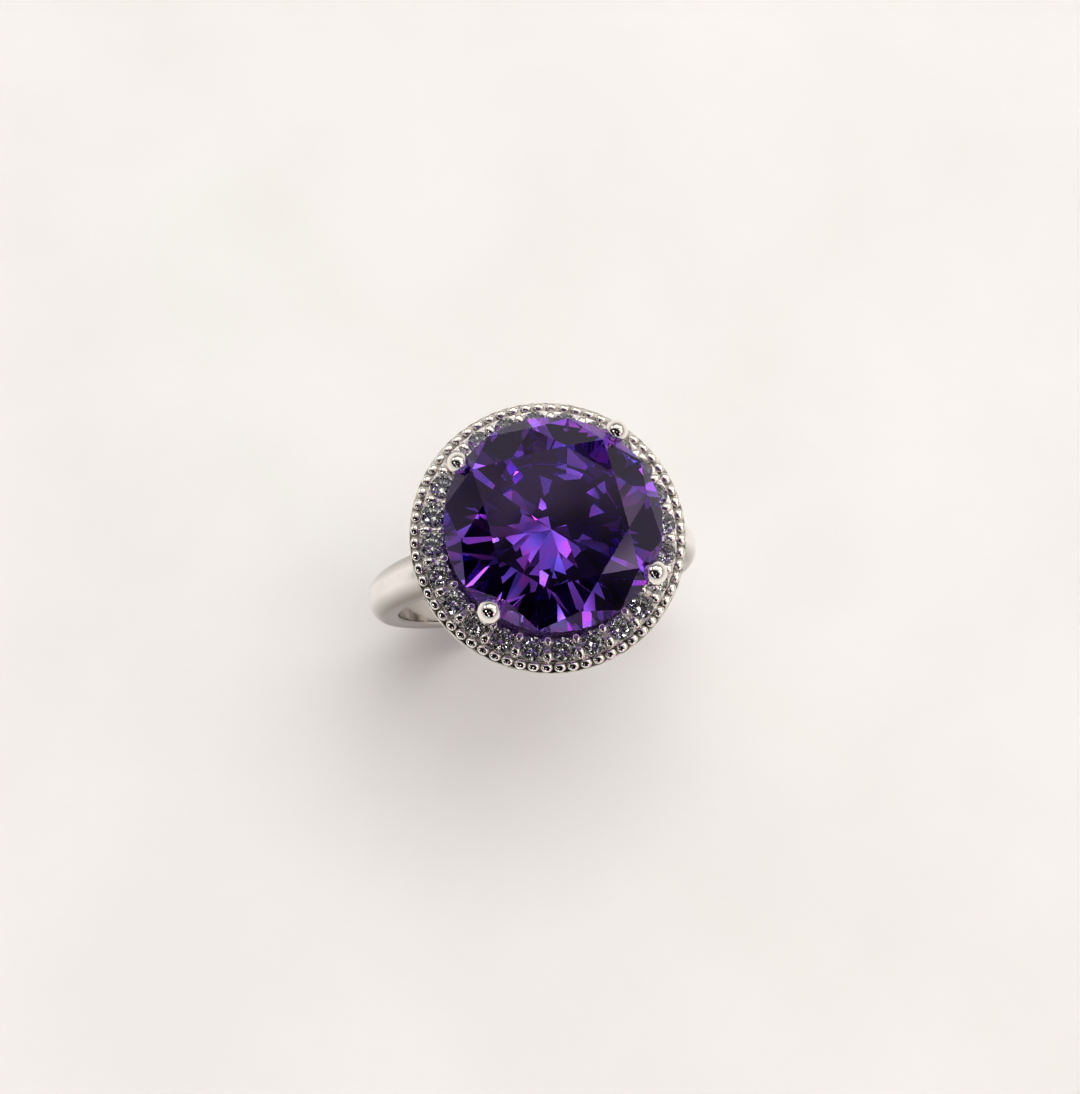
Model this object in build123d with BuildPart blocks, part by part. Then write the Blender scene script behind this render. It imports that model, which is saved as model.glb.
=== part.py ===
"""Cocktail ring: a large round violet stone in four ball-tipped claws over a beaded halo.

Frame, in millimetres: the origin is the centre of the finger hole, +Y runs along the
finger, +X from shoulder to shoulder and +Z up through the head to the stone's table.
"""

import os
from math import cos, radians, sin, tan

from build123d import *

# ---------------------------------------------------------------- driving dimensions

# Shank
finger_radius = 8.85            # finger hole 17.7 mm across, US size 7 1/2
shank_radius = 10.65            # crown of the D-section band
shank_width_top = 2.8           # along the finger, where the band meets the head
shank_width_bottom = 2.2
shank_wall_flat = 0.75          # straight part of the section before it rounds over
shank_outer_fillet = 0.35
shank_inner_fillet = 0.2

# Centre stone, a round brilliant
stone_radius = 6.0
stone_table_radius = 3.95       # to the corners of the table
stone_crown_angle = 36.0
stone_pavilion_angle = 40.5
stone_star_angle = 22.0
stone_girdle = 0.35             # girdle thickness where the main facets meet it
stone_turn = 4.5                # a star facet points this far round from +X
girdle_z = 14.65

# Head: rails and claws
rail_inner_radius = 2.8
rail_outer_radius = 3.75
rail_top_z = 9.95
rail_finger_relief = 9.1        # underside of the rail, just clear of the finger
rail_fillet = 0.25
gallery_radius = 4.8
gallery_wire_radius = 0.36
gallery_z = 10.85
claw_wire_radius = 0.5
claw_foot = (3.5, 9.2)          # claw centre line, as (distance from +Z, height)
claw_waist = (5.3, 11.7)
claw_shoulder = (6.3, 14.3)
claw_neck = (6.22, 15.3)
claw_bend_radius = 1.6
claw_tip_centre = (6.12, 15.37)
front_tip_radius = 0.63
back_tip_radius = 0.54
claw_angles = {
    "claw_back_right": 46.0,
    "claw_back_left": 139.5,
    "claw_front_left": 225.1,
    "claw_front_right": 322.5,
}

# Halo
halo_stone_count = 24
halo_stone_radius = 0.68
halo_table_radius = 0.4
halo_girdle = 0.05
halo_pitch_radius = 6.58        # centres of the small stones
halo_start = 11.5               # azimuth of the first small stone
plate_top_z = 11.85
plate_bottom_z = 11.0
plate_inner_radius = 5.72
plate_outer_radius = 7.29
ledge_inner_radius = 5.4        # lip under the plate that the claws are let into
ledge_top_z = 11.4
seat_drill_radius = 0.4
seat_play = 0.005
grain_radius = 0.28
grain_z = 11.87
outer_grain_pitch_radius = 6.95
inner_grain_pitch_radius = 6.2
rim_outer_radius = 7.85
rim_top_z = 11.72
rim_fillet = 0.12
bead_count = 64
bead_pitch_radius = 7.57
bead_half_length = 0.33         # along the rim
bead_half_width = 0.265
bead_z = 11.74

halo_step = 360 / halo_stone_count

os.makedirs("parts", exist_ok=True)


def write_piece(piece, name):
    """Label a finished piece and write it as its own STEP file."""
    piece.part.label = name
    export_step(piece.part, f"parts/{name}.step")


def at(radius, azimuth, height):
    """Point at a distance from the Z axis, an azimuth in degrees and a height."""
    return Vector(radius * cos(radians(azimuth)), radius * sin(radians(azimuth)), height)


def facet_through(first, second, third):
    """Plane through three points, with its normal pointing away from the Z axis."""
    normal = (second - first).cross(third - first).normalized()
    outward = normal.dot(Vector(first.X, first.Y, 0)) > 0
    return Plane(origin=first, z_dir=normal if outward else normal * -1)


def facet_sloped(point, azimuth, slope, side):
    """Facet plane through a point; side is +1 on the crown and -1 on the pavilion."""
    normal = at(sin(radians(slope)), azimuth, side * cos(radians(slope)))
    return Plane(origin=point, z_dir=normal)


def crown_facets(radius, table, crown_angle, star_angle, girdle):
    """Table, mains, stars and upper halves of a round brilliant."""
    edge = girdle / 2
    table_z = edge + (radius - table) * tan(radians(crown_angle))
    table_side = table * cos(radians(22.5))
    # Foot of a star facet: where its plane meets the two mains beside it.
    crown_slope = tan(radians(crown_angle))
    star_slope = tan(radians(star_angle))
    foot_rise = edge + radius * crown_slope - table_z - table_side * star_slope
    foot_radius = foot_rise / (cos(radians(22.5)) * crown_slope - star_slope)
    foot_z = table_z - (foot_radius - table_side) * star_slope
    planes = [Plane(origin=(0, 0, table_z), z_dir=(0, 0, 1))]
    for index in range(8):
        star = 45 * index
        planes.append(facet_sloped(at(table_side, star, table_z), star, star_angle, 1))
        main = star + 22.5
        planes.append(facet_sloped(at(radius, main, edge), main, crown_angle, 1))
        foot = at(foot_radius, star, foot_z)
        for side in (-22.5, 22.5):
            planes.append(
                facet_through(at(radius, star, edge), at(radius, star + side, edge), foot)
            )
    return planes


def pavilion_facets(radius, pavilion_angle, girdle):
    """Mains and lower halves, which run 77% of the way to the culet."""
    edge = -girdle / 2
    half_radius = 0.23 * radius
    slope = tan(radians(pavilion_angle))
    half_z = edge - (radius - half_radius * cos(radians(22.5))) * slope
    planes = []
    for index in range(8):
        star = 45 * index
        main = star + 22.5
        planes.append(facet_sloped(at(radius, main, edge), main, pavilion_angle, -1))
        tip = at(half_radius, star, half_z)
        for side in (-22.5, 22.5):
            planes.append(
                facet_through(at(radius, star, edge), at(radius, star + side, edge), tip)
            )
    return planes


def brilliant(radius, table, crown_angle, pavilion_angle, star_angle, girdle):
    """Round brilliant with 57 facets, its girdle centred on the origin."""
    with BuildPart() as blank:
        Cylinder(radius, 2 * radius + 2 * girdle)
        for plane in crown_facets(radius, table, crown_angle, star_angle, girdle):
            split(bisect_by=plane, keep=Keep.BOTTOM)
        for plane in pavilion_facets(radius, pavilion_angle, girdle):
            split(bisect_by=plane, keep=Keep.BOTTOM)
    return blank.part


# ---------------------------------------------------------------- centre stone

stone_cut = brilliant(
    stone_radius,
    stone_table_radius,
    stone_crown_angle,
    stone_pavilion_angle,
    stone_star_angle,
    stone_girdle,
)

with BuildPart() as centre_stone:
    add(stone_cut.moved(Location((0, 0, girdle_z), (0, 0, stone_turn))))
write_piece(centre_stone, "centre_stone")

# ---------------------------------------------------------------- halo stones

halo_cut = brilliant(
    halo_stone_radius,
    halo_table_radius,
    stone_crown_angle,
    stone_pavilion_angle,
    stone_star_angle,
    halo_girdle,
)
halo_girdle_z = plate_top_z - halo_girdle / 2

for number in range(halo_stone_count):
    azimuth = halo_start + number * halo_step
    seat = Location(at(halo_pitch_radius, azimuth, halo_girdle_z), (0, 0, azimuth))
    with BuildPart() as halo_stone:
        add(halo_cut.moved(seat))
    write_piece(halo_stone, f"halo_stone_{number + 1:02d}")

# ---------------------------------------------------------------- claws


def make_claw(tip_radius):
    """Claw in the +X half-plane: a bent wire with a ball tip, cut to seat the stone."""
    with BuildPart() as claw:
        with BuildLine(Plane.XZ) as centre_line:
            FilletPolyline(
                claw_foot, claw_waist, claw_shoulder, claw_neck, radius=claw_bend_radius
            )
        with BuildSketch(Plane(centre_line.line @ 0, z_dir=centre_line.line % 0)):
            Circle(claw_wire_radius)
        sweep(path=centre_line.line)
        with Locations((claw_tip_centre[0], 0, claw_tip_centre[1])):
            Sphere(tip_radius)
    return claw.part


claws = {}
for claw_name, azimuth in claw_angles.items():
    tip = front_tip_radius if "front" in claw_name else back_tip_radius
    blank_claw = make_claw(tip)
    with BuildPart() as claw_piece:
        add(blank_claw.moved(Location((0, 0, 0), (0, 0, azimuth))))
        add(centre_stone.part, mode=Mode.SUBTRACT)
    write_piece(claw_piece, claw_name)
    claws[claw_name] = claw_piece.part

# ---------------------------------------------------------------- base rail

with BuildPart() as base_rail:
    with BuildSketch(Plane.XZ):
        with Locations((rail_inner_radius, rail_top_z)):
            Rectangle(
                rail_outer_radius - rail_inner_radius, 3, align=(Align.MIN, Align.MAX)
            )
    revolve(axis=Axis.Z)
    fillet(base_rail.edges().group_by(Axis.Z)[-1], rail_fillet)
    Cylinder(rail_finger_relief, 12, rotation=(90, 0, 0), mode=Mode.SUBTRACT)
    for claw in claws.values():
        add(claw, mode=Mode.SUBTRACT)
write_piece(base_rail, "base_rail")

# ---------------------------------------------------------------- gallery rail

with BuildPart() as gallery_rail:
    with Locations((0, 0, gallery_z)):
        Torus(gallery_radius, gallery_wire_radius)
    for claw in claws.values():
        add(claw, mode=Mode.SUBTRACT)
write_piece(gallery_rail, "gallery_rail")

# ---------------------------------------------------------------- halo plate

crown_height = (halo_stone_radius - halo_table_radius) * tan(radians(stone_crown_angle))
seat_radius = halo_stone_radius + seat_play
drill_depth = (seat_radius - seat_drill_radius) * tan(radians(stone_pavilion_angle))

with BuildPart() as seat_cutter:
    with BuildSketch(Plane.XZ):
        with BuildLine():
            Polyline(
                (0, -2),
                (seat_drill_radius, -2),
                (seat_drill_radius, -halo_girdle / 2 - drill_depth),
                (seat_radius, -halo_girdle / 2),
                (seat_radius, halo_girdle / 2),
                (halo_table_radius, halo_girdle / 2 + crown_height),
                (0, halo_girdle / 2 + crown_height),
                close=True,
            )
        make_face()
    revolve(axis=Axis.Z)

with BuildPart() as halo_tray:
    with BuildSketch(Plane.XZ):
        with BuildLine():
            Polyline(
                (ledge_inner_radius, plate_bottom_z),
                (plate_outer_radius, plate_bottom_z),
                (plate_outer_radius, plate_top_z),
                (plate_inner_radius, plate_top_z),
                (plate_inner_radius, ledge_top_z),
                (ledge_inner_radius, ledge_top_z),
                close=True,
            )
        make_face()
    revolve(axis=Axis.Z)
    for pitch_radius in (outer_grain_pitch_radius, inner_grain_pitch_radius):
        with Locations((0, 0, grain_z)):
            with PolarLocations(pitch_radius, halo_stone_count, halo_start + halo_step / 2):
                Sphere(grain_radius)
    with Locations((0, 0, halo_girdle_z)):
        with PolarLocations(halo_pitch_radius, halo_stone_count, halo_start):
            add(seat_cutter.part, mode=Mode.SUBTRACT)
    for claw in claws.values():
        add(claw, mode=Mode.SUBTRACT)
write_piece(halo_tray, "halo_tray")

# ---------------------------------------------------------------- beaded rim

with BuildPart() as bead:
    with BuildSketch(Plane.XY):
        Ellipse(bead_half_width, bead_half_length)
        with Locations((-bead_half_width, 0)):
            Rectangle(2 * bead_half_width, 2 * bead_half_length, mode=Mode.SUBTRACT)
    revolve(axis=Axis.Y)

with BuildPart() as halo_rim:
    with BuildSketch(Plane.XZ):
        with Locations((plate_outer_radius, plate_bottom_z)):
            Rectangle(
                rim_outer_radius - plate_outer_radius,
                rim_top_z - plate_bottom_z,
                align=(Align.MIN, Align.MIN),
            )
    revolve(axis=Axis.Z)
    outer_wall = halo_rim.faces().filter_by(GeomType.CYLINDER).sort_by(SortBy.RADIUS)[-1]
    fillet(outer_wall.edges().filter_by(GeomType.CIRCLE), rim_fillet)
    with Locations((0, 0, bead_z)):
        with PolarLocations(bead_pitch_radius, bead_count):
            add(bead.part)
write_piece(halo_rim, "halo_rim")

# ---------------------------------------------------------------- shank

with BuildPart() as shank:
    wall_radius = finger_radius + shank_wall_flat
    half_width = shank_width_top / 2
    with BuildSketch(Plane.XY):
        with BuildLine():
            Polyline(
                (wall_radius, -half_width),
                (finger_radius, -half_width),
                (finger_radius, half_width),
                (wall_radius, half_width),
            )
            ThreePointArc(
                (wall_radius, half_width), (shank_radius, 0), (wall_radius, -half_width)
            )
        make_face()
    revolve(axis=Axis.Y)
    # The band narrows evenly from the head to the back of the finger.
    with BuildSketch(Plane.YZ):
        with BuildLine():
            Polyline(
                (-half_width, shank_radius),
                (half_width, shank_radius),
                (shank_width_bottom / 2, -shank_radius),
                (-shank_width_bottom / 2, -shank_radius),
                close=True,
            )
        make_face()
    extrude(amount=shank_radius, both=True, mode=Mode.INTERSECT)
    finger_wall = shank.faces().filter_by(GeomType.CYLINDER)[0]
    finger_edges = finger_wall.edges().filter_by(lambda edge: edge.length > shank_radius)
    fillet(finger_edges, shank_inner_fillet)
    crown = shank.faces().sort_by(SortBy.AREA)[-1]
    crown_edges = crown.edges().filter_by(lambda edge: edge.length > shank_radius)
    fillet(crown_edges, shank_outer_fillet)
    with Locations((0, 0, shank_radius)):
        Cylinder(rail_outer_radius, 2 * shank_radius - finger_radius, mode=Mode.SUBTRACT)
write_piece(shank, "shank")
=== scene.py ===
"""Looks for the cocktail ring: silver, stones, floor, light and camera around the CAD frame."""

from math import asin, atan2, cos, degrees, pi, radians, sin, sqrt

import bmesh
import bpy
from mathutils import Matrix, Vector


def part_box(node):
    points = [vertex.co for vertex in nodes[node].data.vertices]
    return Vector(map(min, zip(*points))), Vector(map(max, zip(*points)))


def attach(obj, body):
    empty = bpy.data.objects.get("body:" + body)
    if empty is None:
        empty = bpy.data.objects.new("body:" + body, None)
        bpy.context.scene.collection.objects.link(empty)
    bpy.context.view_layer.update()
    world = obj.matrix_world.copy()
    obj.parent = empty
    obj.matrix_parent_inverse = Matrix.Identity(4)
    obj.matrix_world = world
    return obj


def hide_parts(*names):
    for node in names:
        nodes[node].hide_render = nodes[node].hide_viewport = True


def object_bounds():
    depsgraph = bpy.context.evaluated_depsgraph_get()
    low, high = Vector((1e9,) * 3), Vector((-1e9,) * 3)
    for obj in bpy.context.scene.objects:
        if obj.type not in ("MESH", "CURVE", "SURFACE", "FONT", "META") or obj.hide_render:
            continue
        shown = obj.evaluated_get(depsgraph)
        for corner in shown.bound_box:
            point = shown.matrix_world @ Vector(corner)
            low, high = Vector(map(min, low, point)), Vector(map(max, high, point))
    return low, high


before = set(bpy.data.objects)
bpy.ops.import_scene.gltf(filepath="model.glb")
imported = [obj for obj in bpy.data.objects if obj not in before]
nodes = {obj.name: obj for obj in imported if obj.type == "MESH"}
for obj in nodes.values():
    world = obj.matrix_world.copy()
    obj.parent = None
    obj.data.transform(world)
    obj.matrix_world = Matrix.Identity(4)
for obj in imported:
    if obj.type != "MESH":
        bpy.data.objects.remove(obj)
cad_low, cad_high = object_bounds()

MM = 0.001
ROOT = "root"
scene = bpy.context.scene

# ---------------------------------------------------------------- sizes, in millimetres
#
# Heights (z) are above the middle of the finger hole, radii are from the vertical axis through
# the head, and azimuths are in degrees from +X. The shank's radii are from the finger's axis,
# and its start share is the part of a full turn that the head takes from it on each side.

finger_radius = 8.85
shank_radius = 10.65
shank_wall_radius = 9.6
shank_width_top = 2.8
shank_width_bottom = 2.2
shank_outer_fillet = 0.35
shank_inner_fillet = 0.2
shank_start_share = 0.058

rail_inner_radius = 2.8
rail_outer_radius = 3.75
rail_top_z = 9.95
rail_finger_relief = 9.1
rail_fillet = 0.25
rail_ease = 0.05
rail_inset = 0.3
gallery_radius = 4.8
gallery_wire_radius = 0.36
gallery_z = 10.85
gallery_trim_angle = 3.5

# Corners of a claw's centre line as (radius, height), and how far a bend reaches from a corner.
claw_wire_radius = 0.5
claw_foot = (3.5, 9.2)
claw_waist = (5.3, 11.7)
claw_shoulder = (6.3, 14.3)
claw_tip_centre = (6.12, 15.37)
claw_bend = 0.4
claw_seat_scale = 1.002

# Azimuth of each claw and radius of its ball.
claw_tips = {
    "claw_back_right": (46.0, 0.62),
    "claw_back_left": (139.5, 0.57),
    "claw_front_left": (225.1, 0.67),
    "claw_front_right": (322.5, 0.65),
}

stone_count = 24
halo_start = 11.5
halo_stone_radius = 0.68
halo_pitch_radius = 6.58
halo_girdle_z = 11.825

# Heights in a seat are from its stone's girdle; its reach is past the plate on both sides.
seat_drill_radius = 0.4
seat_drill_z = -0.262
seat_girdle = 0.02
seat_gap = 0.005
seat_mouth = 0.06
seat_reach = (-2.0, 0.5)

plate_top_z = 11.85
plate_bottom_z = 11.0
plate_inner_radius = 5.72
plate_outer_radius = 7.29
ledge_inner_radius = 5.4
ledge_top_z = 11.4
plate_ease = 0.04
grain_z = 11.87
grain_fullness = 0.8

# Radius of each ring of grains, half sizes of a grain and its outward lean in degrees.
grain_rings = ((6.94, (0.37, 0.28, 0.25), 10.0), (6.12, (0.27, 0.25, 0.25), -4.0))

rim_outer_radius = 7.85
rim_top_z = 11.72
rim_fillet = 0.12
bead_count = 64
bead_pitch_radius = 7.54
bead_half_sizes = (0.26, 0.34, 0.22)
bead_fullness = 0.75
bead_lean = 13.0
bead_z = 11.76

# ---------------------------------------------------------------- node helpers


def new_material(name):
    """Material with an empty node tree, its Principled shader and its output."""
    material = bpy.data.materials.new(name)
    material.use_nodes = True
    tree = material.node_tree
    tree.nodes.clear()
    shader = tree.nodes.new("ShaderNodeBsdfPrincipled")
    output = tree.nodes.new("ShaderNodeOutputMaterial")
    tree.links.new(shader.outputs["BSDF"], output.inputs["Surface"])
    return material, tree, shader, output


def noise(tree, scale, detail=3.0, roughness=0.5, vector=None):
    """Noise texture, in object space at features per metre unless a vector is given."""
    node = tree.nodes.new("ShaderNodeTexNoise")
    node.inputs["Scale"].default_value = scale
    node.inputs["Detail"].default_value = detail
    node.inputs["Roughness"].default_value = roughness
    if vector is None:
        vector = tree.nodes.new("ShaderNodeTexCoord").outputs["Object"]
    tree.links.new(vector, node.inputs["Vector"])
    return node.outputs["Fac"]


def spread(tree, value, low, high, out_low, out_high):
    """Map a value from one range to another, clamped."""
    node = tree.nodes.new("ShaderNodeMapRange")
    node.inputs["From Min"].default_value = low
    node.inputs["From Max"].default_value = high
    node.inputs["To Min"].default_value = out_low
    node.inputs["To Max"].default_value = out_high
    tree.links.new(value, node.inputs["Value"])
    return node.outputs["Result"]


def bump(tree, height, strength, distance, normal=None):
    """Bump from a height, in metres of relief."""
    node = tree.nodes.new("ShaderNodeBump")
    node.inputs["Strength"].default_value = strength
    node.inputs["Distance"].default_value = distance
    tree.links.new(height, node.inputs["Height"])
    if normal is not None:
        tree.links.new(normal, node.inputs["Normal"])
    return node.outputs["Normal"]


def ramp(tree, value, stops):
    """Colour ramp; each stop is (position, colour)."""
    node = tree.nodes.new("ShaderNodeValToRGB")
    elements = node.color_ramp.elements
    while len(elements) > 1:
        elements.remove(elements[-1])
    elements[0].position, elements[0].color = stops[0][0], (*stops[0][1], 1)
    for position, colour in stops[1:]:
        elements.new(position).color = (*colour, 1)
    tree.links.new(value, node.inputs["Fac"])
    return node.outputs["Color"]


def coordinate(tree, axis):
    """Object coordinate along an axis, in metres."""
    split = tree.nodes.new("ShaderNodeSeparateXYZ")
    tree.links.new(tree.nodes.new("ShaderNodeTexCoord").outputs["Object"], split.inputs[0])
    return split.outputs[axis]


def distance_from(tree, axis):
    """Distance in metres from an axis through the frame's origin; axis is 1 along it."""
    place = tree.nodes.new("ShaderNodeTexCoord").outputs["Object"]
    flat = tree.nodes.new("ShaderNodeVectorMath")
    flat.operation = "MULTIPLY"
    flat.inputs[1].default_value = tuple(1.0 - share for share in axis)
    tree.links.new(place, flat.inputs[0])
    length = tree.nodes.new("ShaderNodeVectorMath")
    length.operation = "LENGTH"
    tree.links.new(flat.outputs[0], length.inputs[0])
    return length.outputs["Value"]


def blend_colour(tree, factor, under, colour, mode="MIX"):
    """Lay a colour over another by a factor."""
    node = tree.nodes.new("ShaderNodeMix")
    node.data_type = "RGBA"
    node.blend_type = mode
    node.clamp_result = False
    if isinstance(factor, float):
        node.inputs[0].default_value = factor
    else:
        tree.links.new(factor, node.inputs[0])
    for socket, value in ((node.inputs[6], under), (node.inputs[7], colour)):
        if isinstance(value, tuple):
            socket.default_value = (*value, 1)
        else:
            tree.links.new(value, socket)
    return node.outputs[2]


# ---------------------------------------------------------------- materials


def polished_silver(name, wear, relief):
    """Bright polished silver with fine polishing marks and a little cast unevenness."""
    material, tree, shader, _ = new_material(name)
    shader.inputs["Metallic"].default_value = 1.0
    fine = noise(tree, 9000, 4)
    broad = noise(tree, 500, 2)
    tint = ramp(tree, broad, [(0.3, (0.93, 0.885, 0.815)), (0.7, (0.96, 0.925, 0.865))])
    tree.links.new(tint, shader.inputs["Base Color"])
    rough = spread(tree, fine, 0.3, 0.7, wear * 0.4, wear * 1.6)
    tree.links.new(rough, shader.inputs["Roughness"])
    soft = bump(tree, noise(tree, 1500, 2), 1.0, relief)
    tree.links.new(bump(tree, fine, 1.0, relief * 0.05, soft), shader.inputs["Normal"])
    return material


def band_silver(name):
    """Polished silver, with painted shade along the edges and inside the finger hole."""
    material, tree, shader, _ = new_material(name)
    shader.inputs["Metallic"].default_value = 1.0
    across = tree.nodes.new("ShaderNodeMath")
    across.operation = "ABSOLUTE"
    tree.links.new(coordinate(tree, "Y"), across.inputs[0])
    edge = spread(tree, across.outputs[0], 0.4 * MM, 1.2 * MM, 0, 1)
    near, far = (finger_radius + 0.1) * MM, (finger_radius + 0.85) * MM
    inside = spread(tree, distance_from(tree, (0, 1, 0)), near, far, 1, 0)
    broad = noise(tree, 420, 3)
    tint = ramp(tree, broad, [(0.3, (0.86, 0.83, 0.80)), (0.7, (0.94, 0.91, 0.88))])
    # Painted shade: the band darkens towards both of its edges.
    tint = blend_colour(tree, edge, tint, (0.30, 0.27, 0.24))
    # Painted shade inside the finger hole.
    tint = blend_colour(tree, inside, tint, (0.50, 0.46, 0.43))
    tree.links.new(tint, shader.inputs["Base Color"])
    fine = noise(tree, 9000, 4)
    tree.links.new(spread(tree, fine, 0.3, 0.7, 0.06, 0.15), shader.inputs["Roughness"])
    soft = bump(tree, noise(tree, 1500, 2), 1.0, 3e-6)
    tree.links.new(bump(tree, fine, 1.0, 1.5e-7, soft), shader.inputs["Normal"])
    return material


def tray_silver(name):
    """Silver cut by hand round the stones, with painted shade in their seats and in the recess
    inside.
    """
    material, tree, shader, _ = new_material(name)
    shader.inputs["Metallic"].default_value = 1.0
    near, far = (plate_inner_radius + 0.18) * MM, (plate_inner_radius + 0.43) * MM
    recess = spread(tree, distance_from(tree, (0, 0, 1)), near, far, 1, 0)
    deep, shallow = (plate_top_z - 0.15) * MM, (plate_top_z - 0.04) * MM
    painted_seat_shade = spread(tree, coordinate(tree, "Z"), deep, shallow, 1, 0)
    cuts = noise(tree, 2600, 3, 0.6)
    tint = ramp(tree, cuts, [(0.36, (0.66, 0.62, 0.56)), (0.46, (0.96, 0.925, 0.87))])
    # Painted shade in the recess round the centre stone.
    tint = blend_colour(tree, recess, tint, (0.16, 0.145, 0.15))
    # Painted shade in the seats under the small stones.
    tint = blend_colour(tree, painted_seat_shade, tint, (0.22, 0.21, 0.19))
    tree.links.new(tint, shader.inputs["Base Color"])
    rough = spread(tree, cuts, 0.35, 0.55, 0.32, 0.12)
    tree.links.new(rough, shader.inputs["Roughness"])
    tree.links.new(bump(tree, cuts, 1.0, 4e-5), shader.inputs["Normal"])
    return material


def rim_silver(name):
    """Polished wall, darker and mottled on top between the beads."""
    material, tree, shader, _ = new_material(name)
    shader.inputs["Metallic"].default_value = 1.0
    wall, crest = (rim_top_z - 0.27) * MM, (rim_top_z - 0.1) * MM
    top = spread(tree, coordinate(tree, "Z"), wall, crest, 0, 1)
    mottle = noise(tree, 1800, 3)
    clean = ramp(tree, mottle, [(0.3, (0.90, 0.86, 0.80)), (0.7, (0.96, 0.925, 0.87))])
    black = ramp(tree, mottle, [(0.38, (0.20, 0.19, 0.17)), (0.6, (0.74, 0.70, 0.64))])
    # Darker, mottled colour towards the top of the wall.
    tree.links.new(blend_colour(tree, top, clean, black), shader.inputs["Base Color"])
    tree.links.new(spread(tree, mottle, 0.3, 0.7, 0.06, 0.22), shader.inputs["Roughness"])
    tree.links.new(bump(tree, mottle, 1.0, 8e-6), shader.inputs["Normal"])
    return material


def zirconia(name, gloss, absorb_colour, absorb_density, tint_low, tint_high):
    """Cubic zirconia: clear, strongly refracting, coloured by its depth."""
    material, tree, shader, output = new_material(name)
    shader.inputs["Transmission Weight"].default_value = 1.0
    shader.inputs["IOR"].default_value = 2.15
    shader.inputs["Specular Tint"].default_value = (*gloss, 1)
    tint = ramp(tree, noise(tree, 650, 2), [(0.42, tint_low), (0.58, tint_high)])
    tree.links.new(tint, shader.inputs["Base Color"])
    smear = spread(tree, noise(tree, 900, 3), 0.55, 0.75, 0.0, 0.015)
    tree.links.new(smear, shader.inputs["Roughness"])
    depth = tree.nodes.new("ShaderNodeVolumeAbsorption")
    depth.inputs["Color"].default_value = (*absorb_colour, 1)
    depth.inputs["Density"].default_value = absorb_density
    tree.links.new(depth.outputs["Volume"], output.inputs["Volume"])
    return material


silver_band = band_silver("polished_silver_band")
silver_head = polished_silver("polished_silver_head", wear=0.05, relief=2e-6)
silver_rim = rim_silver("rim_silver_darker_on_top")
silver_tray = tray_silver("bright_cut_silver_tray")
violet = zirconia(
    name="violet_zirconia",
    gloss=(0.30, 0.22, 0.42),
    absorb_colour=(0.58, 0.22, 0.80),
    absorb_density=250,
    tint_low=(0.40, 0.80, 1.0),
    tint_high=(1.0, 0.58, 0.82),
)
clear = zirconia(
    name="clear_zirconia",
    gloss=(0.8, 0.82, 0.86),
    absorb_colour=(1.0, 0.99, 0.94),
    absorb_density=30,
    tint_low=(0.95, 1.0, 0.93),
    tint_high=(1.0, 1.0, 0.95),
)

# ---------------------------------------------------------------- mesh helpers


def closed_mesh(name, points, faces):
    """Object from points in millimetres, with its faces turned outwards."""
    mesh = bpy.data.meshes.new(name)
    mesh.from_pydata([Vector(point) * MM for point in points], [], faces)
    mesh.validate()
    work = bmesh.new()
    work.from_mesh(mesh)
    bmesh.ops.recalc_face_normals(work, faces=work.faces)
    work.to_mesh(mesh)
    work.free()
    obj = bpy.data.objects.new(name, mesh)
    scene.collection.objects.link(obj)
    return obj


def piece(name, points, faces, material, slot):
    """Smooth-shaded piece from points in millimetres, riding on the ring."""
    obj = closed_mesh(name, points, faces)
    obj.data.shade_smooth()
    obj.data.materials.append(material)
    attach(obj, ROOT)
    return obj


def tube_faces(rows, columns, closed_rows=False):
    """Quads between rows of points, each row a closed loop of columns."""
    faces = []
    for row in range(rows if closed_rows else rows - 1):
        below = row * columns
        above = (row + 1) % rows * columns
        for column in range(columns):
            right = (column + 1) % columns
            faces.append((below + column, below + right, above + right, above + column))
    return faces


def capped_tube_faces(rows, columns):
    """Quads of a tube with a flat face over each end."""
    faces = tube_faces(rows, columns)
    faces.append(tuple(range(columns)))
    faces.append(tuple(reversed(range((rows - 1) * columns, rows * columns))))
    return faces


def arc(centre, radius, start, end, steps):
    """Points on an arc in a plane, angles in degrees."""
    return [
        (
            centre[0] + radius * cos(radians(start + (end - start) * step / steps)),
            centre[1] + radius * sin(radians(start + (end - start) * step / steps)),
        )
        for step in range(steps + 1)
    ]


def turned(profile, steps):
    """Points and faces of a closed (radius, height) profile turned about Z."""
    points = []
    for step in range(steps):
        angle = 2 * pi * step / steps
        points += [(r * cos(angle), r * sin(angle), z) for r, z in profile]
    return points, tube_faces(steps, len(profile), closed_rows=True)


def dome(centre, half_sizes, azimuth, fullness, lean, steps=32, rings=24):
    """Points and faces of a rounded bead; half sizes are radial, along the rim and up.

    A fullness of 1 is an ellipsoid, and less is fuller, with a flatter top. The top leans
    outwards by an angle in degrees.
    """
    turn = Matrix.Rotation(radians(azimuth), 3, "Z") @ Matrix.Rotation(radians(lean), 3, "Y")
    points = []
    for ring in range(1, rings):
        down = pi * ring / rings
        out = sin(down) ** fullness
        up = abs(cos(down)) ** fullness * (1 if down < pi / 2 else -1)
        for step in range(steps):
            angle = 2 * pi * step / steps
            local = Vector(
                (
                    half_sizes[0] * out * cos(angle),
                    half_sizes[1] * out * sin(angle),
                    half_sizes[2] * up,
                )
            )
            points.append(Vector(centre) + turn @ local)
    faces = tube_faces(rings - 1, steps)
    top, bottom = len(points), len(points) + 1
    points += [
        Vector(centre) + turn @ Vector((0, 0, half_sizes[2])),
        Vector(centre) - turn @ Vector((0, 0, half_sizes[2])),
    ]
    last = (rings - 2) * steps
    for step in range(steps):
        right = (step + 1) % steps
        faces.append((top, step, right))
        faces.append((bottom, last + right, last + step))
    return points, faces


def joined(parts):
    """One list of points and one of faces from several (points, faces) pairs."""
    points, faces = [], []
    for part_points, part_faces in parts:
        offset = len(points)
        points += part_points
        faces += [tuple(index + offset for index in face) for face in part_faces]
    return points, faces


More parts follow.
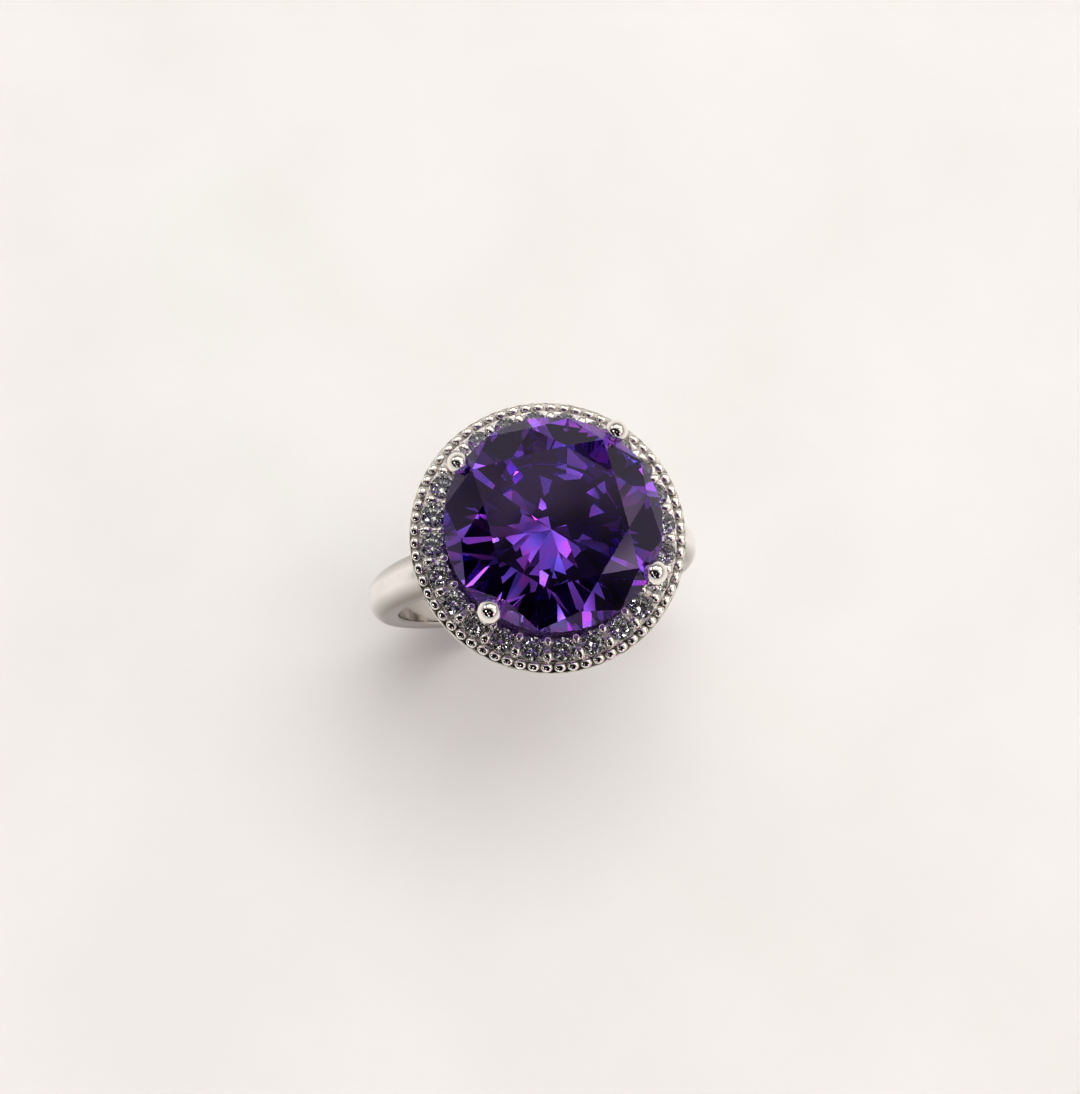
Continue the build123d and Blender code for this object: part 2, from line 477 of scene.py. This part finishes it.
def polar(radius, azimuth, height):
    """Point at a distance from Z, an azimuth in degrees and a height."""
    return (radius * cos(radians(azimuth)), radius * sin(radians(azimuth)), height)


def cut(obj, cutter):
    """Take one closed mesh out of another, exactly, and remove the cutter."""
    modifier = obj.modifiers.new("cut", "BOOLEAN")
    modifier.operation = "DIFFERENCE"
    modifier.solver = "EXACT"
    modifier.object = cutter
    graph = bpy.context.evaluated_depsgraph_get()
    mesh = bpy.data.meshes.new_from_object(obj.evaluated_get(graph))
    obj.modifiers.clear()
    obj.data = mesh
    bpy.data.objects.remove(cutter)


def smooth_by_angle(obj, angle):
    """Smooth shading with sharp edges past an angle in degrees."""
    work = bmesh.new()
    work.from_mesh(obj.data)
    for edge in work.edges:
        edge.smooth = len(edge.link_faces) == 2 and edge.calc_face_angle() < radians(angle)
    for face in work.faces:
        face.smooth = True
    work.to_mesh(obj.data)
    work.free()


# ---------------------------------------------------------------- shank


def band_section(half_width):
    """Closed (radius, across) outline of the D-section band at one place."""
    sagitta = shank_radius - shank_wall_radius
    top_half = shank_width_top / 2
    crown = (top_half**2 + sagitta**2) / (2 * sagitta)
    centre = shank_radius - crown
    outer, inner = shank_outer_fillet, shank_inner_fillet
    fillet_r = centre + sqrt((crown - outer) ** 2 - (half_width - outer) ** 2)
    lean = degrees(atan2(half_width - outer, fillet_r - centre))
    inner_corner = (finger_radius + inner, half_width - inner)
    side = (
        [(finger_radius, half_width * step / 8) for step in range(7)]
        + arc(inner_corner, inner, 180, 90, 8)
        + arc((fillet_r, half_width - outer), outer, 90, lean, 10)
        + arc((centre, 0), crown, lean, 0, 20)[1:]
    )
    mirrored = [(r, -across) for r, across in reversed(side[1:-1])]
    return side + mirrored


def shank_mesh(rows=240):
    """Band from one side of the base rail round to the other, narrowing to the back."""
    points = []
    for row in range(rows + 1):
        share = row / rows
        turn = 2 * pi * (shank_start_share + (1 - 2 * shank_start_share) * share)
        narrowing = 0.5 - 0.5 * cos(turn)
        width = shank_width_top - (shank_width_top - shank_width_bottom) * narrowing
        for r, across in band_section(width / 2):
            start = asin(sqrt(rail_outer_radius**2 - across**2) / r)
            angle = start + (2 * pi - 2 * start) * share
            points.append((r * sin(angle), across, r * cos(angle)))
    return points, capped_tube_faces(rows + 1, len(points) // (rows + 1))


shank = piece("shank_band", *shank_mesh(), silver_band, "silver")
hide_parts("shank")

# ---------------------------------------------------------------- base rail


def base_rail_mesh(steps=256):
    """Ring that bridges the shank's ends, hollowed below to clear the finger."""
    inner, outer, fillet_z = rail_inner_radius, rail_outer_radius, rail_top_z - rail_fillet
    top = arc((inner + rail_fillet, fillet_z), rail_fillet, 180, 90, 6)
    top += arc((outer - rail_fillet, fillet_z), rail_fillet, 90, 0, 6)
    underside = [
        (outer, rail_ease),
        (outer - rail_ease, 0.0),
        (outer - rail_inset, 0.0),
        (inner + rail_inset, 0.0),
        (inner + rail_ease, 0.0),
        (inner, rail_ease),
    ]
    points = []
    for step in range(steps):
        angle = 2 * pi * step / steps
        points += [(r * cos(angle), r * sin(angle), z) for r, z in top]
        for r, lift in underside:
            z = sqrt(rail_finger_relief**2 - (r * cos(angle)) ** 2) + lift
            points.append((r * cos(angle), r * sin(angle), z))
    return points, tube_faces(steps, len(top) + len(underside), closed_rows=True)


base_rail = piece("base_rail_ring", *base_rail_mesh(), silver_head, "silver")
smooth_by_angle(base_rail, 40)
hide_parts("base_rail")

# ---------------------------------------------------------------- gallery rail


def gallery_mesh(rows=48, columns=24):
    """Four round bars from claw to claw, each ending inside the claws."""
    parts = []
    azimuths = [azimuth for azimuth, _ in claw_tips.values()]
    for index, start in enumerate(azimuths):
        end = azimuths[(index + 1) % len(azimuths)]
        end += 360 if end < start else 0
        points = []
        for row in range(rows + 1):
            azimuth = start + gallery_trim_angle + (end - start - 2 * gallery_trim_angle) * row / rows
            for column in range(columns):
                around = 2 * pi * column / columns
                radius = gallery_radius + gallery_wire_radius * cos(around)
                height = gallery_z + gallery_wire_radius * sin(around)
                points.append(polar(radius, azimuth, height))
        parts.append((points, capped_tube_faces(rows + 1, columns)))
    return joined(parts)


gallery_rail = piece("gallery_bars", *gallery_mesh(), silver_head, "silver")
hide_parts("gallery_rail")

# ---------------------------------------------------------------- claws


def claw_line(steps=60):
    """Centre line of a claw in its own plane, a smooth curve through its corners."""
    knots = [Vector(point) for point in (claw_foot, claw_waist, claw_shoulder, claw_tip_centre)]
    bend_steps = 8
    path = [knots[0]]
    for before, corner, after in zip(knots, knots[1:], knots[2:]):
        enter = corner + (before - corner).normalized() * claw_bend
        leave = corner + (after - corner).normalized() * claw_bend
        for step in range(bend_steps + 1):
            t = step / bend_steps
            path.append(enter * (1 - t) ** 2 + corner * 2 * t * (1 - t) + leave * t**2)
    path.append(knots[-1])
    lengths = [0.0]
    for first, second in zip(path, path[1:]):
        lengths.append(lengths[-1] + (second - first).length)
    line = []
    for step in range(steps + 1):
        target = lengths[-1] * step / steps
        index = max(i for i in range(len(lengths) - 1) if lengths[i] <= target + 1e-9)
        share = (target - lengths[index]) / (lengths[index + 1] - lengths[index])
        line.append(path[index].lerp(path[index + 1], min(1.0, share)))
    return line


def claw_mesh(azimuth, tip_radius, columns=40, cap=24):
    """Wire that swells into a polished ball over the stone's edge."""
    line = claw_line()
    tip = line[-1]
    heading = (line[-1] - line[-2]).normalized()
    line += [
        tip + heading * tip_radius * sin(pi / 2 * (step + 1) / cap) for step in range(cap)
    ]
    # The foot is rounded over its first rows, and a high power smooths the neck of the ball.
    foot_rows = 3
    smoothing = 8
    thinnest = 1e-4
    blunt = 0.004
    turn = Matrix.Rotation(radians(azimuth), 3, "Z")
    points = []
    for index, spot in enumerate(line):
        ahead = line[min(index + 1, len(line) - 1)]
        behind = line[max(index - 1, 0)]
        along = (ahead - behind).normalized()
        side = Vector((along.y, -along.x))
        height = (spot - tip).dot(heading)
        ball = sqrt(max(0.0, tip_radius**2 - height**2))
        wire = 0.0 if height > 0 else claw_wire_radius
        wire *= sqrt(1 - (1 - min(1.0, index / foot_rows)) ** 2)
        powers = max(ball, thinnest) ** smoothing + max(wire, thinnest) ** smoothing
        radius = max(powers ** (1 / smoothing), blunt)
        for column in range(columns):
            around = 2 * pi * column / columns
            flat = spot + side * radius * cos(around)
            points.append(turn @ Vector((flat.x, radius * sin(around), flat.y)))
    return points, capped_tube_faces(len(line), columns)


def stone_cutter():
    """The centre stone a hair larger, to seat the claws without touching it."""
    source = nodes["centre_stone"]
    obj = bpy.data.objects.new("cutter", source.data.copy())
    obj.data.materials.clear()
    work = bmesh.new()
    work.from_mesh(obj.data)
    bmesh.ops.remove_doubles(work, verts=work.verts, dist=1e-7)
    low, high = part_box("centre_stone")
    middle = (low + high) / 2
    for vert in work.verts:
        vert.co = middle + (vert.co - middle) * claw_seat_scale
    work.to_mesh(obj.data)
    work.free()
    scene.collection.objects.link(obj)
    return obj


for name, (azimuth, tip_radius) in claw_tips.items():
    claw = piece(name + "_wire", *claw_mesh(azimuth, tip_radius), silver_head, "silver")
    cut(claw, stone_cutter())
    smooth_by_angle(claw, 35)
    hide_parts(name)

# ---------------------------------------------------------------- halo tray and grains


def tray_profile():
    """Closed (radius, height) outline of the plate with eased edges."""
    ease = plate_ease
    return (
        arc((plate_inner_radius + ease, plate_top_z - ease), ease, 180, 90, 4)
        + arc((plate_outer_radius - ease, plate_top_z - ease), ease, 90, 0, 4)
        + arc((plate_outer_radius - ease, plate_bottom_z + ease), ease, 0, -90, 4)
        + arc((ledge_inner_radius + ease, plate_bottom_z + ease), ease, 270, 180, 4)
        + arc((ledge_inner_radius + ease, ledge_top_z - ease), ease, 180, 90, 4)
        + [(plate_inner_radius, ledge_top_z)]
    )


def seats(columns=48):
    """Conical seats and drill holes for the small stones, as one cutter."""
    wall, mouth = halo_stone_radius + seat_gap, halo_stone_radius + seat_mouth
    outline = [
        (seat_drill_radius, seat_reach[0]),
        (seat_drill_radius, seat_drill_z),
        (wall, -seat_girdle),
        (wall, seat_girdle),
        (mouth, seat_mouth),
        (mouth, seat_reach[1]),
    ]
    parts = []
    for index in range(stone_count):
        azimuth = halo_start + 360 / stone_count * index
        centre = Vector(polar(halo_pitch_radius, azimuth, halo_girdle_z))
        points = []
        for r, z in outline:
            for step in range(columns):
                around = 2 * pi * step / columns
                points.append(centre + Vector((r * cos(around), r * sin(around), z)))
        parts.append((points, capped_tube_faces(len(outline), columns)))
    return joined(parts)


tray = piece("halo_tray_plate", *turned(tray_profile(), 360), silver_tray, "silver")
cut(tray, closed_mesh("cutter", *seats()))
smooth_by_angle(tray, 35)
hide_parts("halo_tray")

grain_parts = []
for index in range(stone_count):
    azimuth = halo_start + 360 / stone_count * (index + 0.5)
    for ring_radius, half_sizes, lean in grain_rings:
        spot = polar(ring_radius, azimuth, grain_z)
        grain_parts.append(dome(spot, half_sizes, azimuth, grain_fullness, lean))
grains = piece("halo_grains", *joined(grain_parts), silver_head, "silver")
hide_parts("halo_tray")

# ---------------------------------------------------------------- beaded rim


def rim_profile():
    """Closed (radius, height) outline of the wall under the beads."""
    top, bottom = rim_top_z - rim_fillet, plate_bottom_z + rim_fillet
    edge = rim_outer_radius - rim_fillet
    return (
        [(plate_outer_radius, plate_bottom_z), (plate_outer_radius, rim_top_z)]
        + arc((edge, top), rim_fillet, 90, 0, 8)
        + arc((edge, bottom), rim_fillet, 0, -90, 8)
    )


rim = piece("halo_rim_wall", *turned(rim_profile(), 360), silver_rim, "silver")
smooth_by_angle(rim, 35)
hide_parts("halo_rim")

bead_parts = []
for index in range(bead_count):
    azimuth = 360 / bead_count * index
    spot = polar(bead_pitch_radius, azimuth, bead_z)
    bead_parts.append(dome(spot, bead_half_sizes, azimuth, bead_fullness, bead_lean))
beads = piece("halo_beads", *joined(bead_parts), silver_head, "silver")
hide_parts("halo_rim")

# ---------------------------------------------------------------- stones


def dress(node, material):
    """Give a CAD stone its material, with every facet flat."""
    mesh = nodes[node].data
    mesh.materials.clear()
    mesh.materials.append(material)
    mesh.shade_flat()


dress("centre_stone", violet)
for index in range(stone_count):
    dress(f"halo_stone_{index + 1:02d}", clear)

# ---------------------------------------------------------------- floor


def floor(half_width=2.0):
    """Plain pale floor under the band; half its width is in metres."""
    mesh = bpy.data.meshes.new("floor")
    corners = [(-1, -1), (1, -1), (1, 1), (-1, 1)]
    points = [(x * half_width, y * half_width, cad_low.z) for x, y in corners]
    mesh.from_pydata(points, [], [(0, 1, 2, 3)])
    obj = bpy.data.objects.new("floor", mesh)
    scene.collection.objects.link(obj)
    material, tree, shader, _ = new_material("pale_floor")
    tint = ramp(
        tree, noise(tree, 60, 3), [(0.3, (0.80, 0.79, 0.765)), (0.7, (0.84, 0.83, 0.81))]
    )
    tree.links.new(tint, shader.inputs["Base Color"])
    shader.inputs["Roughness"].default_value = 0.8
    mesh.materials.append(material)


floor()

# ---------------------------------------------------------------- directions
#
# Angles in degrees; the camera's distance and aim are in millimetres.

camera_azimuth = -30.825
camera_elevation = 76.689
camera_roll = 21.1
camera_lens = 47.7
camera_distance = 81.42
camera_aim = (-0.651, -0.655, 12.0)


def toward(azimuth, elevation):
    """Unit vector to a place round the object: azimuth 0 is the -Y side."""
    a, e = radians(azimuth), radians(elevation)
    return Vector((sin(a) * cos(e), -cos(a) * cos(e), sin(e)))


def camera_axes():
    """Unit vectors to the camera, and to the right and the top of its picture."""
    back = toward(camera_azimuth, camera_elevation)
    level = (-back).to_track_quat("-Z", "Y").to_matrix()
    turn = level @ Matrix.Rotation(radians(camera_roll), 3, "Z")
    return back, turn @ Vector((1, 0, 0)), turn @ Vector((0, 1, 0))


def off_camera(angle, clock):
    """Direction at an angle from the camera's, on a clock face seen by it; 12 is the top."""
    back, right, top = camera_axes()
    a, c = radians(angle), radians(clock * 30)
    return back * cos(a) + (right * sin(c) + top * cos(c)) * sin(a)


# ---------------------------------------------------------------- light


def patch(tree, direction, centre, inner, outer):
    """One inside a cone of directions, nothing outside it, angles in degrees."""
    dot = tree.nodes.new("ShaderNodeVectorMath")
    dot.operation = "DOT_PRODUCT"
    tree.links.new(direction, dot.inputs[0])
    dot.inputs[1].default_value = centre
    node = tree.nodes.new("ShaderNodeMapRange")
    node.interpolation_type = "SMOOTHSTEP"
    node.inputs["From Min"].default_value = cos(radians(outer))
    node.inputs["From Max"].default_value = cos(radians(inner))
    tree.links.new(dot.outputs["Value"], node.inputs["Value"])
    return node.outputs["Result"]


# Each patch of light or shade: angle from the camera and clock direction, radius of its full
# part and of its faded edge in degrees, colour. The last of the room is the dark zone.
room = [
    (48, 11.4, 6, 12, (2.0, 2.0, 2.0)),
    (52, 0.2, 6, 12, (2.1, 2.05, 2.0)),
    (46, 1.1, 6, 11, (2.3, 2.3, 2.35)),
    (60, 1.6, 7, 13, (2.1, 2.0, 1.9)),
    (45, 2.3, 6, 11, (2.3, 2.2, 2.15)),
    (58, 3.1, 8, 14, (1.8, 1.75, 1.65)),
    (66, 10.3, 8, 14, (2.4, 2.3, 2.35)),
    (72, 4.6, 8, 16, (1.2, 1.15, 1.1)),
    (36, 7.0, 52, 61, (0.008, 0.007, 0.009)),
]

# A bright and a dark patch that the centre stone's table mirrors.
haze = [
    (37, 0.4, 4, 12, (1.0, 0.95, 1.0)),
    (24, 1.1, 4, 8, (0.08, 0.07, 0.08)),
]

# Small lamps, some of them coloured, that make the stones and the metal sparkle.
lamps = [
    (33, 9.0, 2.0, 4.0, (14.0, 13.6, 13.2)),
    (12, 5.4, 1.0, 2.4, (5.0, 5.0, 5.0)),
    (44, 6.3, 1.5, 3.0, (14.0, 13.8, 13.6)),
    (58, 8.2, 2.0, 4.0, (14.0, 5.0, 10.0)),
    (62, 6.9, 2.0, 4.0, (3.0, 10.0, 15.0)),
    (70, 10.6, 2.0, 4.0, (3.0, 11.0, 16.0)),
    (50, 4.4, 2.0, 4.0, (15.0, 6.0, 12.0)),
    (30, 7.4, 0.8, 2.0, (12.0, 12.0, 12.5)),
    (68, 5.6, 3.5, 6.5, (12.0, 12.0, 11.6)),
    (76, 8.9, 3.5, 6.5, (12.0, 12.0, 12.4)),
    (66, 7.6, 3.0, 5.0, (11.0, 11.5, 12.0)),
]

# The dim band round the room, as the sine of an elevation and the share of light left there,
# and the elevations in degrees between which the plain horizon gives way to the room.
full_light, dim_light = (1.0, 1.0, 1.0), (0.22, 0.21, 0.20)
skirting_stops = [(0.29, full_light), (0.34, dim_light), (0.44, dim_light), (0.54, full_light)]
horizon_edge = (14, 19)
horizon_colour = (0.62, 0.61, 0.59)

# The floor's own lamp: direction from the camera's, distance and size in metres, watts.
key_direction = (26, 0.8)
key_distance = 0.6
key_size = 0.6
key_power = 2.7


def lay(tree, direction, light, patches):
    """Lay patches over the light, one after another."""
    for angle, clock, inner, outer, colour in patches:
        spot = patch(tree, direction, off_camera(angle, clock), inner, outer)
        light = blend_colour(tree, spot, light, colour)
    return light


def studio():
    """Room of directions: windows, a large dark zone, small lamps and a plain horizon."""
    world = bpy.data.worlds.new("studio")
    scene.world = world
    world.use_nodes = True
    tree = world.node_tree
    tree.nodes.clear()
    direction = tree.nodes.new("ShaderNodeTexCoord").outputs["Generated"]
    bright_side = patch(tree, direction, off_camera(95, 3.6), 20, 150)
    light = blend_colour(tree, bright_side, (0.42, 0.405, 0.39), (0.80, 0.78, 0.74))
    light = lay(tree, direction, light, room)
    clutter = ramp(
        tree,
        noise(tree, 11.0, 2, 0.6, direction),
        [(0.40, (0.20, 0.20, 0.22)), (0.50, (0.95, 0.93, 0.91)), (0.58, (1.7, 1.65, 1.6))],
    )
    light = blend_colour(tree, 1.0, light, clutter, "MULTIPLY")
    light = lay(tree, direction, light, haze + lamps)
    split = tree.nodes.new("ShaderNodeSeparateXYZ")
    tree.links.new(direction, split.inputs[0])
    skirting = ramp(tree, split.outputs["Z"], skirting_stops)
    light = blend_colour(tree, 1.0, light, skirting, "MULTIPLY")
    bottom, top = (sin(radians(angle)) for angle in horizon_edge)
    horizon = spread(tree, split.outputs["Z"], bottom, top, 1, 0)
    light = blend_colour(tree, horizon, light, horizon_colour)
    background = tree.nodes.new("ShaderNodeBackground")
    tree.links.new(light, background.inputs["Color"])
    background.inputs["Strength"].default_value = 1.0
    output = tree.nodes.new("ShaderNodeOutputWorld")
    tree.links.new(background.outputs["Background"], output.inputs["Surface"])


studio()


def key_light():
    """Broad soft lamp that lights the floor without showing in the metal."""
    data = bpy.data.lights.new("key", "AREA")
    data.shape = "DISK"
    data.size = key_size
    data.energy = key_power
    data.color = (1.0, 0.99, 0.965)
    obj = bpy.data.objects.new("key", data)
    scene.collection.objects.link(obj)
    way = off_camera(*key_direction)
    obj.location = way * key_distance
    obj.rotation_euler = way.to_track_quat("Z", "Y").to_euler()
    obj.visible_glossy = False
    obj.visible_transmission = False


key_light()

# ---------------------------------------------------------------- camera


def place_camera():
    """Camera high over the front left of the ring."""
    data = bpy.data.cameras.new("camera")
    data.lens = camera_lens
    camera = bpy.data.objects.new("camera", data)
    scene.collection.objects.link(camera)
    back, right, top = camera_axes()
    place = (Vector(camera_aim) + back * camera_distance) * MM
    turn = Matrix((right, top, back)).transposed().to_4x4()
    camera.matrix_world = Matrix.Translation(place) @ turn
    data.clip_start, data.clip_end = 0.001, 10
    scene.camera = camera


place_camera()
scene.view_settings.view_transform = "Standard"
scene.cycles.max_bounces = 24
scene.cycles.glossy_bounces = 12
scene.cycles.transmission_bounces = 24
